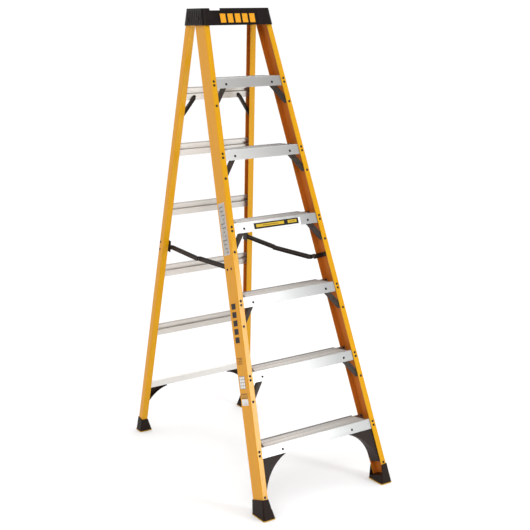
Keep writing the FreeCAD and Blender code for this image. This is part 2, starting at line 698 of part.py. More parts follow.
def cap_badge():
    """Plate in the front panel: a plain ground with raised upright bars."""
    x = BADGE[:2]
    z = BADGE[2:]
    back = PANEL_DEPTH - FIT_GAP
    parts = [slanted_panel(x, z, back, BADGE_SHEET - back)]
    pitch = (x[1] - x[0] - BADGE_GAP) / BADGE_BARS
    for i in range(BADGE_BARS):
        start = x[0] + BADGE_GAP + pitch * i
        bar_x = (start, start + pitch - BADGE_GAP)
        parts.append(slanted_panel(bar_x, (z[0] + BADGE_GAP, z[1] - BADGE_GAP), back, 0.3))
    return parts[0].fuse(parts[1:]).removeSplitter()


def bolt(y, z, places):
    """Bolt along x with a low round head outside the cap and a nut inside the rail."""
    head_x, nut_x, end_x = places
    shank = rod(V(end_x, y, z), V(1, 0, 0), head_x - end_x, PIN_RADIUS)
    head = Part.makeCone(8.0, 6.0, 2.6, V(head_x, y, z), V(1, 0, 0))
    flats = [V(nut_x, y + 7.5 * math.cos(math.radians(60 * i)), z + 7.5 * math.sin(math.radians(60 * i)))
             for i in range(6)]
    nut = prism(flats, V(-6, 0, 0))
    return shank.fuse([head, nut])


def cap_bolts():
    front = bolt(FRONT_BOLT_Y, FRONT_BOLT_Z, FRONT_BOLT_X)
    pivot = bolt(PIVOT_Y, PIVOT_Z, PIVOT_BOLT_X)
    return group(both_sides([front, pivot]))


# ---------------------------------------------------------------- spreaders

def pin(y, z, outer, inner):
    """Flat-headed pivot pin along x: shank between two faces, a head beyond each."""
    shank = rod(V(inner, y, z), V(1, 0, 0), outer - inner, PIN_RADIUS)
    inside = rod(V(inner - 1.6, y, z), V(1, 0, 0), 1.6, 6.5)
    outside = Part.makeCone(6.5, 5.0, 1.6, V(outer, y, z), V(1, 0, 0))
    return shank.fuse([inside, outside])


def arm(x, start, end, holes):
    """Channel strip between two pivots: web outside at x, turned edges inwards, round ends."""
    dy = end[0] - start[0]
    dz = end[1] - start[1]
    length = math.hypot(dy, dz)
    along = V(0, dy / length, dz / length)
    local = frame(V(x, start[0], start[1]), V(1, 0, 0), along, V(1, 0, 0).cross(along))
    half = ARM_HEIGHT / 2
    web = box((-ARM_SHEET, 0), (0, length), (-half, half))
    ends = [rod(V(-ARM_SHEET, y, 0), V(1, 0, 0), ARM_SHEET, half) for y in (0, length)]
    edges = [box((-ARM_SHEET - ARM_EDGE, 0), (6, length - 6), (z, z + ARM_SHEET))
             for z in (-half, half - ARM_SHEET)]
    body = put(web.fuse(ends + edges).removeSplitter(), local)
    return body.cut([rod(V(x - 10, y, z), V(1, 0, 0), 20, radius) for y, z, radius in holes])


def front_arm():
    loose = PIN_RADIUS + PIN_CLEARANCE
    return arm(FRONT_ARM_X, FRONT_PIN, MIDDLE_PIN, [(*FRONT_PIN, loose), (*MIDDLE_PIN, loose)])


def rear_arm():
    loose = PIN_RADIUS + PIN_CLEARANCE
    fixed = PIN_RADIUS + HOLE_CLEARANCE
    return arm(REAR_ARM_X, REAR_PIN, MIDDLE_PIN, [(*REAR_PIN, loose), (*MIDDLE_PIN, fixed)])


def middle_pin():
    """Rivet at the elbow, held by the rear arm, that ends just short of the front arm."""
    face = REAR_ARM_X
    end = FRONT_ARM_X + 0.4
    shank = rod(V(end, *MIDDLE_PIN), V(1, 0, 0), face - end, PIN_RADIUS)
    head = Part.makeCone(6.5, 5.0, 1.6, V(face, *MIDDLE_PIN), V(1, 0, 0))
    return shank.fuse(head)


def front_bracket():
    """Plate on the rail's web, a wall past the rear flange and a lug that carries the front arm."""
    s = FRONT_SPREADER_S
    half = 10.0
    inner = FRONT_WALL + FIT_GAP
    base = box((-inner - LUG_SHEET, -inner), (12, 71), (s - half, s + half))
    wall = box((-46, -inner), (68.5, 71), (s - half, s + half))
    body = put(base.fuse(wall), FRONT_RAIL)
    lug_x = FRONT_ARM_X + FIT_GAP + 0.1
    lug = put(box((lug_x, lug_x + LUG_SHEET), (60, 94), (s - half - 2, s + half - 4)), FRONT_PLANE)
    eye = rod(V(lug_x, *FRONT_PIN), V(1, 0, 0), LUG_SHEET, half)
    body = body.fuse([lug, eye]).removeSplitter()
    body = body.cut(rod(V(180, *FRONT_PIN), V(1, 0, 0), 40, PIN_RADIUS + HOLE_CLEARANCE))
    return body.cut(web_holes(FRONT_RAIL, FRONT_WALL, FRONT_BRACKET_RIVETS))


def rear_bracket():
    """Tall plate on the rail's web, a wall inwards and a T-shaped lug that carries the rear arm."""
    s = REAR_SPREADER_S
    inner = REAR_WALL + FIT_GAP
    base = box((-inner - LUG_SHEET, -inner), (6, 30.6), (s - 27, s + 27))
    wall = box((-37, -inner), (10, 12.5), (s - 26, s + 26))
    body = put(base.fuse(wall), REAR_RAIL)
    lug_x = REAR_ARM_X + FIT_GAP + 0.1
    slope = s * math.cos(math.radians(REAR_FLARE))
    tall = put(box((lug_x, lug_x + LUG_SHEET), (-8, 26), (slope - 27, slope + 27)), REAR_PLANE)
    eye = rod(V(lug_x, *REAR_PIN), V(1, 0, 0), LUG_SHEET, 11.0)
    body = body.fuse([tall, eye]).removeSplitter()
    body = body.cut(rod(V(190, *REAR_PIN), V(1, 0, 0), 40, PIN_RADIUS + HOLE_CLEARANCE))
    return body.cut(web_holes(REAR_RAIL, REAR_WALL, REAR_BRACKET_RIVETS))


def web_rivets(placement, wall, points):
    """Rivets with their heads outside a rail's web, through the bracket behind it."""
    turn = FreeCAD.Rotation(V(0, 0, 1), V(1, 0, 0))
    grip = wall + FIT_GAP + LUG_SHEET
    return [put(put(rivet(grip), FreeCAD.Placement(V(0, y, z), turn)), placement) for y, z in points]


def front_pins():
    lug_face = FRONT_ARM_X + FIT_GAP + 0.1 + LUG_SHEET
    return group(both_sides([pin(*FRONT_PIN, lug_face, FRONT_ARM_X - ARM_SHEET - 0.1)]))


def rear_pins():
    lug_face = REAR_ARM_X + FIT_GAP + 0.1 + LUG_SHEET
    return group(both_sides([pin(*REAR_PIN, lug_face, REAR_ARM_X - ARM_SHEET - 0.1)]))


# ---------------------------------------------------------------- labels

LABEL_SHEET = 0.4
# Start and end along the left rail, and start and end across its web
RAIL_LABELS = ((1082.0, 1299.0, 19.0, 69.0), (716.0, 887.0, 24.0, 64.0), (632.0, 662.0, 24.0, 70.0),
               (533.0, 585.0, 25.0, 69.0), (466.0, 515.0, 19.0, 69.0))
STEP_LABEL = (-111.0, 121.5, 30.0, 2.0)
LABELLED_STEP = 3


def rail_labels():
    """Thin sheets on the outside of the left front rail."""
    sheets = [box((0, LABEL_SHEET), (y0, y1), (z0, z1)) for z0, z1, y0, y1 in RAIL_LABELS]
    return group([mirrored(put(sheet, FRONT_RAIL)) for sheet in sheets])


def step_label():
    """Thin sheet on the front lip of the fourth step."""
    slope = step_line(LABELLED_STEP) * math.cos(math.radians(FRONT_FLARE))
    x0, x1, drop, rise = STEP_LABEL
    face = FRONT_WALL + FIT_GAP
    sheet = box((x0, x1), (face - LABEL_SHEET, face), (slope - drop, slope + rise))
    return put(sheet, FRONT_PLANE)


# ---------------------------------------------------------------- assembly

def write(name, shape):
    shape.exportStep(os.path.join("parts", name + ".step"))


def write_pair(name, right, suffix=""):
    write(name + "_right" + suffix, right)
    write(name + "_left" + suffix, mirrored(right))


def write_front():
    places = front_rivet_places()
    holes = rivet_holes(places)
    write_pair("front_rail", front_rail(holes))
    space = between(FRONT_RAIL, FRONT_WALL)
    for k in range(STEP_COUNT):
        write("step_%d" % (k + 1), step(k, space, holes))
    for k in range(1, STEP_COUNT):
        write_pair("step_brace", step_brace(k, holes), "_%d" % (k + 1))
    write_pair("front_gusset", front_gusset(holes))
    write_pair("front_foot", front_boot())
    write_pair("front_pad", pad(FRONT_SOLE_X, FRONT_SOLE_Y))
    write("front_rivets", rivets(places, web_rivets(FRONT_RAIL, FRONT_WALL, FRONT_BRACKET_RIVETS)))
    write("top_cap", top_cap())
    write("cap_badge", cap_badge())
    write("cap_bolts", cap_bolts())
    write("rail_labels", rail_labels())
    write("step_label", step_label())


def write_rear():
    places = rear_rivet_places()
    holes = rivet_holes(places)
    write_pair("rear_rail", rear_rail(holes))
    space = between(REAR_RAIL, REAR_WALL)
    for index in range(len(bar_centres())):
        write("rear_bar_%d" % (index + 1), rear_bar(index, space, holes))
    write_pair("rear_brace", rear_brace(holes))
    write_pair("rear_gusset", rear_gusset(holes))
    write_pair("rear_foot", rear_boot())
    write_pair("rear_pad", pad(REAR_SOLE_X, REAR_SOLE_Y))
    write("rear_rivets", rivets(places, web_rivets(REAR_RAIL, REAR_WALL, REAR_BRACKET_RIVETS)))


def write_spreaders():
    write_pair("front_arm", front_arm())
    write_pair("rear_arm", rear_arm())
    write_pair("middle_pin", middle_pin())
    write_pair("front_bracket", front_bracket())
    write_pair("rear_bracket", rear_bracket())
    write("front_pins", front_pins())
    write("rear_pins", rear_pins())


os.makedirs("parts", exist_ok=True)
write_front()
write_rear()
write_spreaders()
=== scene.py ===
import math

import bpy
from mathutils import Matrix, Vector

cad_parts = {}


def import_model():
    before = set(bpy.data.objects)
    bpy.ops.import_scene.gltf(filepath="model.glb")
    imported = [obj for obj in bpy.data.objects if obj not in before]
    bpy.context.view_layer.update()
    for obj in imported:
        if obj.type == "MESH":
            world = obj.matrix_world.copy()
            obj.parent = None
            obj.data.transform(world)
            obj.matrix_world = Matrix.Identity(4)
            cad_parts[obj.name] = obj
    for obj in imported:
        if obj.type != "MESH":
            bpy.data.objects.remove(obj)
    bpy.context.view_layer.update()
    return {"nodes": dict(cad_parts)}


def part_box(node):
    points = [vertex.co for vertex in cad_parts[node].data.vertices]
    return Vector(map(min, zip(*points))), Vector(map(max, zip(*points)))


# Looks of a folding fibreglass step ladder: materials, printed films, floor, light and camera.

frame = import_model()
nodes = frame["nodes"]

# Rails: lean, flare (degrees), outer corner on the floor and depth, in metres
FRONT_RAILS = {"lean": 18.9, "flare": 4.37, "corner": (0.322, -0.58725), "depth": 0.079, "wall": 0.0035}
REAR_RAILS = {"lean": -10.25, "flare": 4.25, "corner": (0.313, 0.54435), "depth": 0.0344, "wall": 0.0032}
# Pivots of the spreader arms at rest, y and z
FRONT_PIN = (-0.1683, 0.9358)
MIDDLE_PIN = (0.1256, 0.9274)
REAR_PIN = (0.3635, 0.9367)
# Strength of the surroundings in front of the ladder, behind it and overhead
FRONT_LIGHT = 0.40
BACK_LIGHT = 1.02
TOP_LIGHT = 1.22
# Direction from the camera to the ladder, x and y, that divides front from behind
AHEAD = (0.54, 0.84)
FLOOR_HALF = 30.0
FLOOR_DROP = 0.0005          # keeps the floor just under the pads


# ------------------------------------------------------------------ small node helpers

class Graph:
    """A material's node tree with short calls for the nodes used below."""

    def __init__(self, name):
        self.material = bpy.data.materials.new(name)
        self.material.use_nodes = True
        self.tree = self.material.node_tree
        self.tree.nodes.clear()
        self.out = self.tree.nodes.new("ShaderNodeOutputMaterial")
        self.shader = self.tree.nodes.new("ShaderNodeBsdfPrincipled")
        self.link(self.shader.outputs[0], self.out.inputs[0])

    def link(self, a, b):
        self.tree.links.new(a, b)

    def feed(self, socket, value):
        if isinstance(value, bpy.types.NodeSocket):
            self.link(value, socket)
        elif isinstance(value, tuple) and len(value) == 3 and socket.type == "RGBA":
            socket.default_value = value + (1.0,)
        else:
            socket.default_value = value

    def set(self, **values):
        names = {"color": "Base Color", "rough": "Roughness", "metal": "Metallic", "normal": "Normal",
                 "specular": "Specular IOR Level"}
        for key, value in values.items():
            self.feed(self.shader.inputs[names[key]], value)

    def math(self, operation, *values):
        node = self.tree.nodes.new("ShaderNodeMath")
        node.operation = operation
        for socket, value in zip(node.inputs, values):
            self.feed(socket, value)
        return node.outputs[0]

    def mix(self, factor, a, b):
        node = self.tree.nodes.new("ShaderNodeMix")
        node.data_type = "RGBA"
        self.feed(node.inputs[0], factor)
        self.feed(node.inputs[6], a)
        self.feed(node.inputs[7], b)
        return node.outputs[2]

    def position(self):
        return self.tree.nodes.new("ShaderNodeTexCoord").outputs["Object"]

    def facing(self):
        return self.tree.nodes.new("ShaderNodeTexCoord").outputs["Normal"]

    def split(self, vector):
        node = self.tree.nodes.new("ShaderNodeSeparateXYZ")
        self.link(vector, node.inputs[0])
        return node.outputs[0], node.outputs[1], node.outputs[2]

    def join(self, x, y, z):
        node = self.tree.nodes.new("ShaderNodeCombineXYZ")
        for socket, value in zip(node.inputs, (x, y, z)):
            self.feed(socket, value)
        return node.outputs[0]

    def scaled(self, vector, scale):
        node = self.tree.nodes.new("ShaderNodeMapping")
        self.link(vector, node.inputs["Vector"])
        node.inputs["Scale"].default_value = scale
        return node.outputs[0]

    def local(self, vector, matrix):
        """Vector in the frame whose placement is the given matrix."""
        node = self.tree.nodes.new("ShaderNodeMapping")
        node.vector_type = "TEXTURE"
        self.link(vector, node.inputs["Vector"])
        node.inputs["Location"].default_value = matrix.to_translation()
        node.inputs["Rotation"].default_value = matrix.to_euler()
        return node.outputs[0]

    def noise(self, vector, scale, detail=3.0, rough=0.5):
        node = self.tree.nodes.new("ShaderNodeTexNoise")
        self.link(vector, node.inputs["Vector"])
        node.inputs["Scale"].default_value = scale
        node.inputs["Detail"].default_value = detail
        node.inputs["Roughness"].default_value = rough
        return node.outputs["Fac"]

    def cells(self, vector, scale):
        node = self.tree.nodes.new("ShaderNodeTexVoronoi")
        self.link(vector, node.inputs["Vector"])
        node.inputs["Scale"].default_value = scale
        return node.outputs["Distance"]

    def range(self, value, low, high, to_low=0.0, to_high=1.0):
        node = self.tree.nodes.new("ShaderNodeMapRange")
        node.inputs["From Min"].default_value = low
        node.inputs["From Max"].default_value = high
        node.inputs["To Min"].default_value = to_low
        node.inputs["To Max"].default_value = to_high
        self.link(value, node.inputs["Value"])
        return node.outputs[0]

    def band(self, value, low, high, soft=0.0002):
        """1 between low and high, 0 outside."""
        rise = self.range(value, low - soft, low + soft)
        fall = self.range(value, high - soft, high + soft, 1.0, 0.0)
        return self.math("MULTIPLY", rise, fall)

    def all_of(self, *masks):
        total = masks[0]
        for mask in masks[1:]:
            total = self.math("MULTIPLY", total, mask)
        return total

    def any_of(self, *masks):
        total = masks[0]
        for mask in masks[1:]:
            total = self.math("MAXIMUM", total, mask)
        return total

    def edges(self, radius):
        """Normal with rounded edges."""
        node = self.tree.nodes.new("ShaderNodeBevel")
        node.samples = 4
        node.inputs["Radius"].default_value = radius
        return node.outputs[0]

    def bump(self, height, strength, distance, normal=None):
        node = self.tree.nodes.new("ShaderNodeBump")
        node.inputs["Strength"].default_value = strength
        node.inputs["Distance"].default_value = distance
        self.link(height, node.inputs["Height"])
        if normal is not None:
            self.link(normal, node.inputs["Normal"])
        return node.outputs[0]


def dress(material, *names):
    """Gives a material to CAD nodes whose names start with the given words."""
    for name, node in nodes.items():
        if name.startswith(names):
            node.data.materials.clear()
            node.data.materials.append(material)


def rail_matrix(rail):
    """Placement of a right-hand rail: x outwards, y backwards, z along it."""
    a = math.radians(rail["lean"])
    b = math.radians(rail["flare"])
    outward = Vector((math.cos(b), math.sin(b) * math.sin(a), math.sin(b) * math.cos(a)))
    back = Vector((0, math.cos(a), -math.sin(a)))
    up = Vector((-math.sin(b), math.cos(b) * math.sin(a), math.cos(b) * math.cos(a)))
    m = Matrix((outward, back, up)).transposed().to_4x4()
    m.translation = (rail["corner"][0], rail["corner"][1], 0)
    return m


def on_rail(g, rail):
    """Coordinates along a rail; the left one is the mirror image of the right one."""
    x, y, z = g.split(g.position())
    return g.local(g.join(g.math("ABSOLUTE", x), y, z), rail_matrix(rail))


# ------------------------------------------------------------------ materials

def fibreglass(name, rail, tones, channel_shade_tones):
    """Fibreglass: fine lengthwise streaks under a gloss skin, duller inside the channel, with painted shade:
    brown inside the channel and its own yellow tone on the outer web.
    """
    g = Graph(name)
    p = on_rail(g, rail)
    x, y, _ = g.split(p)
    # Painted shade: the inside of the channel takes the brown tones
    inside = g.all_of(g.band(x, -1.0, -rail["wall"] + 0.0004, 0.0003),
                      g.band(y, rail["wall"] - 0.0006, rail["depth"] - rail["wall"] + 0.0006, 0.0003))
    # Painted shade: the outer web gets the last yellow tone
    web = g.range(x, -rail["wall"] * 0.6, -rail["wall"] * 0.3)
    streaks = g.noise(g.scaled(p, (900, 900, 9)), 1.0, 4.0, 0.6)
    broad = g.noise(g.scaled(p, (60, 60, 3)), 1.0, 3.0)
    cloud = g.noise(g.scaled(p, (9, 9, 5)), 1.0, 2.0)
    tone = g.math("ADD", g.math("MULTIPLY", streaks, 0.5), g.math("MULTIPLY", broad, 0.5))
    lit = g.mix(g.range(tone, 0.35, 0.65), tones[0], tones[1])
    lit = g.mix(g.range(cloud, 0.3, 0.7, 0.0, 0.35), lit, tones[2])
    lit = g.mix(g.math("MULTIPLY", web, 0.8), lit, tones[3])
    # Painted shade: brown tones inside the channel
    dark = g.mix(g.range(tone, 0.3, 0.7), channel_shade_tones[0], channel_shade_tones[1])
    g.set(color=g.mix(inside, lit, dark), specular=0.24)
    g.set(rough=g.math("ADD", g.range(streaks, 0.3, 0.7, 0.14, 0.20), g.math("MULTIPLY", inside, 0.3)))
    relief = g.math("ADD", g.math("MULTIPLY", streaks, 0.6), g.math("MULTIPLY", broad, 0.4))
    g.set(normal=g.bump(relief, 0.12, 0.0003, g.edges(0.0012)))
    return g.material


def aluminium(name, face, top, fall, step=None):
    """Mill-finish extrusion: lines along its length, ribbed on the upper side with worn patches there; the
    brightness of the sides and of the greyer upper side is painted light and shade.

    fall is how much of the brightness is left at the right-hand end, on the sides and on the upper side: a
    painted fall-off of light.
    """
    g = Graph(name)
    p = g.position()
    x, y, z = g.split(p)
    nz = g.split(g.facing())[2]
    lines = g.noise(g.scaled(p, (4, 700, 700)), 1.0, 3.0, 0.6)
    cloud = g.noise(g.scaled(p, (7, 20, 20)), 1.0, 3.0)
    upper = g.range(nz, 0.6, 0.9)
    base = g.mix(upper, face, top)
    base = g.mix(g.range(lines, 0.35, 0.75, 0.0, 0.12), base, (0.45, 0.42, 0.40))
    base = g.mix(g.range(cloud, 0.35, 0.7, 0.0, 0.10), base, (0.62, 0.58, 0.54))
    relief = g.math("MULTIPLY", lines, 0.3)
    if step is not None:
        slope = math.tan(math.radians(FRONT_RAILS["lean"]))
        back = g.math("SUBTRACT", y, g.math("MULTIPLY", z, slope))
        low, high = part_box(step)
        rear = high[1] - high[2] * slope
        rib = g.math("PINGPONG", g.math("ADD", back, 10.0), 0.0024)
        groove = g.math("MULTIPLY", g.range(rib, 0.0003, 0.0009, 1.0, 0.0), upper)
        wear = g.noise(g.join(g.math("MULTIPLY", x, 2.0), g.math("MULTIPLY", back, 160.0), z), 1.0, 2.0)
        # Painted shade: the rib grooves are darkened
        base = g.mix(g.math("MULTIPLY", groove, 0.45), base, (0.16, 0.14, 0.13))
        worn = g.math("MULTIPLY", g.range(wear, 0.45, 0.62, 0.0, 0.4), upper)
        base = g.mix(worn, base, (0.30, 0.27, 0.25))
        # Painted shade: a dark band along the tread's far edge, under the rear lip
        far_edge_shade = g.math("MULTIPLY", g.band(back, rear - 0.010, rear + 0.01, 0.0005), upper)
        base = g.mix(g.math("MULTIPLY", far_edge_shade, 0.9), base, (0.05, 0.042, 0.036))
        relief = g.math("SUBTRACT", relief, g.math("MULTIPLY", groove, 0.7))
    # Painted light: brightness falls off towards the right-hand end on the sides and on the tread
    side = g.math("MULTIPLY", g.range(x, -0.18, 0.18, 1.0, fall[0]), g.math("SUBTRACT", 1.0, upper))
    tread = g.math("MULTIPLY", g.range(x, -0.13, 0.22, 1.0, fall[1]), upper)
    base = g.mix(g.math("ADD", side, tread), (0.0, 0.0, 0.0), base)
    metal = g.math("SUBTRACT", 0.85, g.math("MULTIPLY", upper, 0.55))
    g.set(color=base, metal=metal, specular=0.3)
    rough = g.math("ADD", g.range(lines, 0.3, 0.7, 0.32, 0.42), g.math("MULTIPLY", upper, 0.25))
    g.set(rough=rough, normal=g.bump(relief, 0.2, 0.0003, g.edges(0.0007)))
    return g.material


def plate(name, color, rough, metal):
    """Pressed sheet metal with light mottling."""
    g = Graph(name)
    p = g.position()
    mottle = g.noise(g.scaled(p, (60, 60, 60)), 1.0, 4.0)
    fine = g.noise(g.scaled(p, (900, 900, 900)), 1.0, 2.0)
    light = tuple(min(1.0, c * 1.5 + 0.008) for c in color)
    g.set(color=g.mix(g.range(mottle, 0.35, 0.7), color, light), metal=metal, specular=0.18)
    g.set(rough=g.range(mottle, 0.3, 0.7, rough - 0.06, rough + 0.08))
    g.set(normal=g.bump(fine, 0.12, 0.0003, g.edges(0.0006)))
    return g.material


def moulded(name, color, rough, scuff, specular=0.2):
    """Moulded plastic with a fine pebbled texture and pale scuffs."""
    g = Graph(name)
    p = g.position()
    pebble = g.cells(p, 900.0)
    cloud = g.noise(g.scaled(p, (25, 25, 25)), 1.0, 4.0)
    scratch = g.noise(g.scaled(p, (40, 220, 90)), 1.0, 5.0, 0.7)
    base = g.mix(g.range(cloud, 0.3, 0.7), color, tuple(c * 1.5 for c in color))
    base = g.mix(g.range(scratch, 0.62, 0.78, 0.0, 0.5), base, scuff)
    g.set(color=base, specular=specular, rough=g.range(cloud, 0.3, 0.7, rough - 0.06, rough + 0.08))
    g.set(normal=g.bump(pebble, 0.25, 0.0003, g.edges(0.0015)))
    return g.material


def strip(name, start, end, edge, middle):
    """Rolled sheet arm between two pivots (y and z in metres): dark edges and a duller brown middle."""
    g = Graph(name)
    _, y, z = g.split(g.position())
    nx = g.split(g.facing())[0]
    dy, dz = end[0] - start[0], end[1] - start[1]
    length = math.hypot(dy, dz)
    across = g.math("SUBTRACT", g.math("MULTIPLY", g.math("SUBTRACT", z, start[1]), dy / length),
                    g.math("MULTIPLY", g.math("SUBTRACT", y, start[0]), dz / length))
    outer = g.range(g.math("ABSOLUTE", nx), 0.8, 0.95)
    centre = g.math("MULTIPLY", g.band(across, -0.0058, 0.0058, 0.0008), outer)
    mottle = g.noise(g.scaled(g.position(), (60, 60, 60)), 1.0, 4.0)
    fine = g.noise(g.scaled(g.position(), (900, 900, 900)), 1.0, 2.0)
    base = g.mix(centre, edge, middle)
    base = g.mix(g.range(mottle, 0.4, 0.7, 0.0, 0.35), base, tuple(c * 0.6 for c in middle))
    g.set(color=base, specular=0.10, rough=g.range(mottle, 0.3, 0.7, 0.42, 0.56))
    g.set(normal=g.bump(fine, 0.12, 0.0003, g.edges(0.0008)))
    return g.material


def printed(g, ground, layers, grain):
    """Ground colour with plain shapes laid over it: (colour, mask) in order."""
    color = g.mix(g.range(grain, 0.4, 0.7, 0.0, 0.15), ground, tuple(c * 0.8 for c in ground))
    for ink, mask in layers:
        color = g.mix(mask, color, ink)
    g.set(color=color, specular=0.16, rough=g.range(grain, 0.3, 0.7, 0.28, 0.40))
    g.set(normal=g.bump(grain, 0.05, 0.0001))
    return g.material


def rail_film(name, rail, ground):
    """Films on a rail's web with plain bars and boxes; z runs along the rail and y across it."""
    g = Graph(name)
    _, y, z = g.split(on_rail(g, rail))
    grain = g.noise(g.scaled(g.position(), (500, 500, 500)), 1.0, 2.0)

    def rect(z0, z1, y0, y1):
        return g.all_of(g.band(z, z0, z1), g.band(y, y0, y1))

    def outline(z0, z1, y0, y1, wide):
        hole = rect(z0 + wide, z1 - wide, y0 + wide, y1 - wide)
        return g.math("SUBTRACT", rect(z0, z1, y0, y1), hole)

    # Long silver film with rows of fine marks
    row = g.math("PINGPONG", y, 0.0023)
    rows = g.math("MULTIPLY", g.range(row, 0.0008, 0.0013), g.band(y, 0.023, 0.065))
    speckle = g.noise(g.join(0.0, g.math("MULTIPLY", y, 220.0), g.math("MULTIPLY", z, 55.0)), 1.0, 1.0)
    dash = g.range(speckle, 0.46, 0.50)
    marks = g.all_of(rows, dash, g.band(z, 1.088, 1.293))
    ticks = [rect(1.090 + 0.0172 * i, 1.0945 + 0.0172 * i,
                  0.028 + 0.004 * (i % 3), 0.044 + 0.007 * (i % 4)) for i in range(12)]
    layers = [((0.50, 0.47, 0.43), g.range(z, 1.06, 1.061)),
              ((0.20, 0.17, 0.15), g.math("MULTIPLY", marks, 0.75)),
              ((0.09, 0.07, 0.06), g.math("MULTIPLY", g.any_of(*ticks), 0.8))]
    # Dark blocks printed straight on the yellow
    blocks = [rect(0.720 + 0.0345 * i, 0.744 + 0.0345 * i, 0.027, 0.061) for i in range(5)]
    layers.append(((0.016, 0.011, 0.008), g.any_of(*blocks)))
    # Small outlined box with two bars
    box = g.any_of(outline(0.634, 0.660, 0.028, 0.066, 0.003), rect(0.642, 0.646, 0.034, 0.060),
                   rect(0.650, 0.654, 0.034, 0.052))
    layers.append(((0.11, 0.055, 0.012), box))
    # White film with a grid of boxes
    grid = [rect(0.5355 + 0.0124 * i, 0.5455 + 0.0124 * i,
                 0.028 + 0.0135 * j, 0.0395 + 0.0135 * j) for i in range(4) for j in range(3)]
    layers.append(((0.26, 0.22, 0.18), rect(0.5, 0.59, 0.0, 0.08)))
    layers.append(((0.80, 0.78, 0.74), g.any_of(*grid)))
    # Boxed mark above a plain white film
    layers.append((ground, rect(0.40, 0.5155, 0.0, 0.08)))
    layers.append(((0.16, 0.09, 0.03), outline(0.4945, 0.5145, 0.0205, 0.0675, 0.004)))
    layers.append(((0.28, 0.18, 0.06), rect(0.502, 0.507, 0.032, 0.056)))
    layers.append(((0.74, 0.72, 0.69), rect(0.40, 0.4915, 0.0, 0.08)))
    bars = g.any_of(rect(0.470, 0.4715, 0.026, 0.060), rect(0.476, 0.4775, 0.026, 0.052))
    layers.append(((0.30, 0.27, 0.25), bars))
    return printed(g, ground, layers, grain)


def framed(name, node, ground, layers):
    """Plate or film with plain shapes placed by fractions of its box: x from the left, z from the bottom."""
    g = Graph(name)
    x, _, z = g.split(g.position())
    low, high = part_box(node)
    u = g.range(x, low[0], high[0])
    v = g.range(z, low[2], high[2])
    grain = g.noise(g.scaled(g.position(), (500, 500, 500)), 1.0, 2.0)
    shapes = [(ink, g.all_of(g.band(u, u0, u1, 0.0015), g.band(v, v0, v1, 0.01)))
              for ink, u0, u1, v0, v1 in layers]
    return printed(g, ground, shapes, grain)


# The last yellow tone is painted shade on the outer web; it is also the ground of the rail films.
YELLOW = ((0.61, 0.285, 0.002), (0.70, 0.345, 0.004), (0.575, 0.26, 0.002), (0.69, 0.29, 0.002))
# The brown tones are painted shade inside the channel.
CHANNEL_SHADE_BROWN = ((0.46, 0.115, 0.010), (0.58, 0.165, 0.016))
BLACK = (0.0075, 0.0045, 0.0036)
AMBER = (0.74, 0.32, 0.015)
GOLD = (0.56, 0.36, 0.02)
GOLD_PRINT = (0.22, 0.12, 0.015)
ARM_EDGE = (0.0035, 0.003, 0.0025)
ARM_MIDDLE = (0.038, 0.024, 0.018)

dress(fibreglass("fibreglass_front", FRONT_RAILS, YELLOW, CHANNEL_SHADE_BROWN), "front_rail")
dress(fibreglass("fibreglass_rear", REAR_RAILS, YELLOW, CHANNEL_SHADE_BROWN), "rear_rail")
# Tuned by measured levels to the photo: brightness of each step's sides, of its tread,
# and the share of the sides' brightness left at the right
# Painted light and shade: each step's own brightness of sides and tread stands in for how the light falls on
# it
STEP_PAINTED_LIGHT = {1: (0.50, 0.92, 0.64), 2: (0.45, 0.98, 0.62), 3: (0.46, 0.97, 0.60),
               4: (0.68, 0.78, 0.48), 5: (0.70, 0.26, 0.62), 6: (0.57, 0.50, 0.70)}
for k, (face, top, fall) in STEP_PAINTED_LIGHT.items():
    name = "step_%d" % k
    dress(aluminium("aluminium_" + name, (face, face * 0.975, face * 0.945), (top, top * 0.94, top * 0.88),
                    (fall, 0.68), name), name)
# Painted light and shade: lit and shaded copies of one aluminium, brightest on the lowest bar and darkest on
# the highest, with a painted fall-off to the right on the upper ones
dress(aluminium("aluminium_bars", (0.70, 0.66, 0.61), (0.50, 0.46, 0.42), (0.75, 0.86)),
      "rear_bar_2", "rear_bar_3", "rear_bar_4", "rear_bar_5")
dress(aluminium("aluminium_low_bar", (0.80, 0.78, 0.75), (0.96, 0.94, 0.91), (1.0, 1.0)), "rear_bar_1")
dress(aluminium("aluminium_high_bar", (0.60, 0.56, 0.51), (0.40, 0.37, 0.33), (0.75, 0.8)), "rear_bar_6")
dress(plate("brace_metal", (0.026, 0.017, 0.012), 0.42, 0.1), "step_brace", "rear_brace", "front_bracket",
      "rear_bracket")
dress(strip("front_arm_metal", FRONT_PIN, MIDDLE_PIN, ARM_EDGE, ARM_MIDDLE), "front_arm")
dress(strip("rear_arm_metal", MIDDLE_PIN, REAR_PIN, ARM_EDGE, ARM_MIDDLE), "rear_arm")
dress(plate("rivet_metal", (0.008, 0.005, 0.003), 0.36, 0.1), "front_rivets", "rear_rivets", "middle_pin",
      "front_pins", "rear_pins", "cap_bolts")
dress(moulded("cap_plastic", BLACK, 0.36, (0.03, 0.024, 0.020), 0.14), "top_cap")
dress(moulded("boot_plastic", (0.012, 0.006, 0.004), 0.45, (0.055, 0.035, 0.025), 0.12),
      "front_foot", "rear_foot")
dress(moulded("gusset_plastic", (0.018, 0.010, 0.007), 0.40, (0.055, 0.040, 0.031), 0.13),
      "front_gusset", "rear_gusset")
dress(moulded("tread_rubber", (0.43, 0.25, 0.035), 0.7, (0.30, 0.17, 0.03)), "front_pad", "rear_pad")
